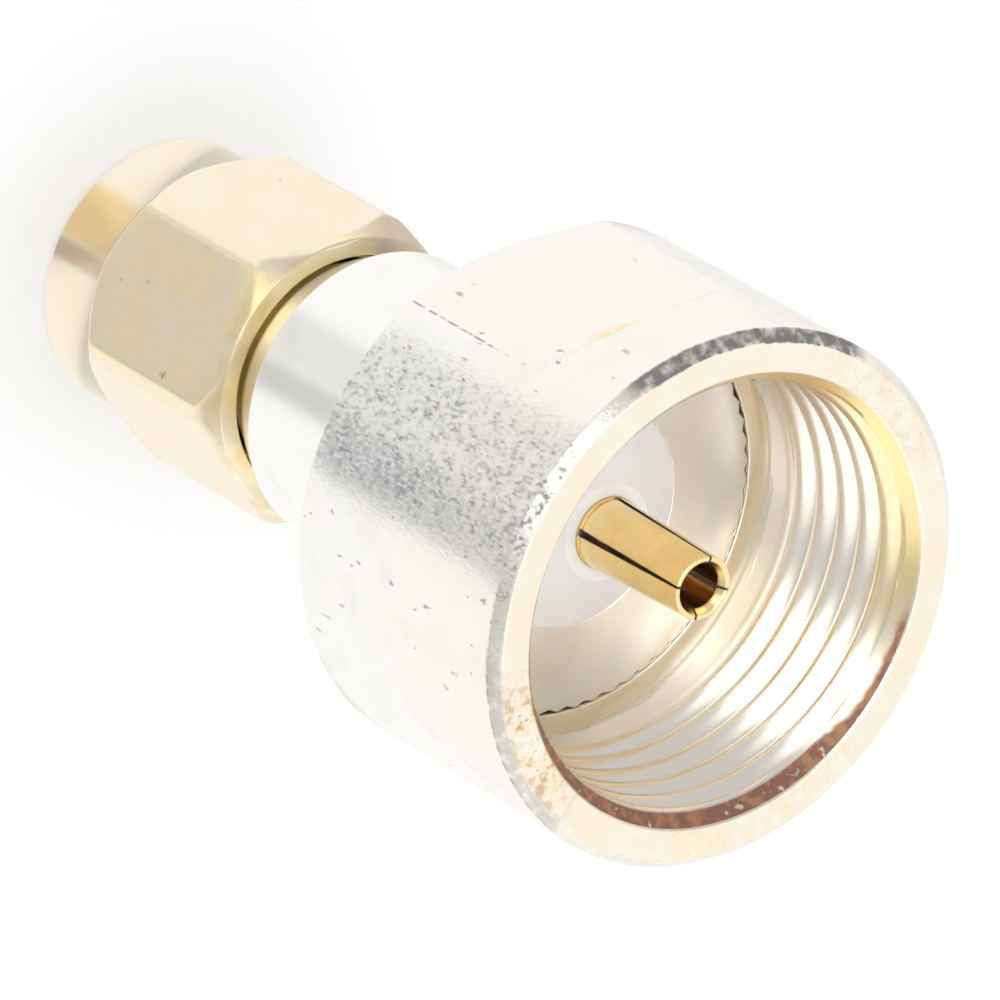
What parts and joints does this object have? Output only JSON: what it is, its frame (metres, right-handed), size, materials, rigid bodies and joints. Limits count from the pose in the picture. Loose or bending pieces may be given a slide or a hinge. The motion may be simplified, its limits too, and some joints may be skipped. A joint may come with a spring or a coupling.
{
  "type": "coaxial adapter",
  "caption": "Coaxial adapter with a small hexagonal coupling nut on one end and a larger threaded coupling shell round a slotted socket contact on the other.",
  "frame": {"origin": "on the axis, at the front face of the SMA nut, which the adapter stands on", "axes": "+Z along the axis, from the SMA nut towards the open mouth of the coupling shell; the shell's wrench flats face +Y and -Y"},
  "size_m": [0.0152, 0.015, 0.0262],
  "materials": {
    "worn_nickel": "nickel-plated brass, worn and pitted",
    "bright_nickel": "nickel-plated brass, bright turned",
    "pale_gold": "thin pale gold plating on brass",
    "contact_gold": "bright gold plating",
    "ptfe": "white, slightly translucent PTFE",
    "spring_metal": "bronze spring ring",
    "gasket": "silicone rubber"
  },
  "bodies": {
    "root": {"main_body": "bright_nickel", "front_body": "bright_nickel", "face_insulator": "ptfe", "socket_contact": "contact_gold", "sma_insulator": "ptfe", "centre_pin": "contact_gold", "nut_snap_ring": "spring_metal", "nut_gasket": "gasket"},
    "shell": {"coupling_shell": "worn_nickel"},
    "nut": {"sma_nut": "pale_gold"}
  },
  "joints": [
    {"name": "shell_spin", "type": "hinge", "parent": "root", "child": "shell", "pos_m": [0, 0, 0.0176], "axis": [0, 0, 1], "continuous": true},
    {"name": "nut_spin", "type": "hinge", "parent": "root", "child": "nut", "pos_m": [0, 0, 0.0075], "axis": [0, 0, 1], "continuous": true}
  ]
}
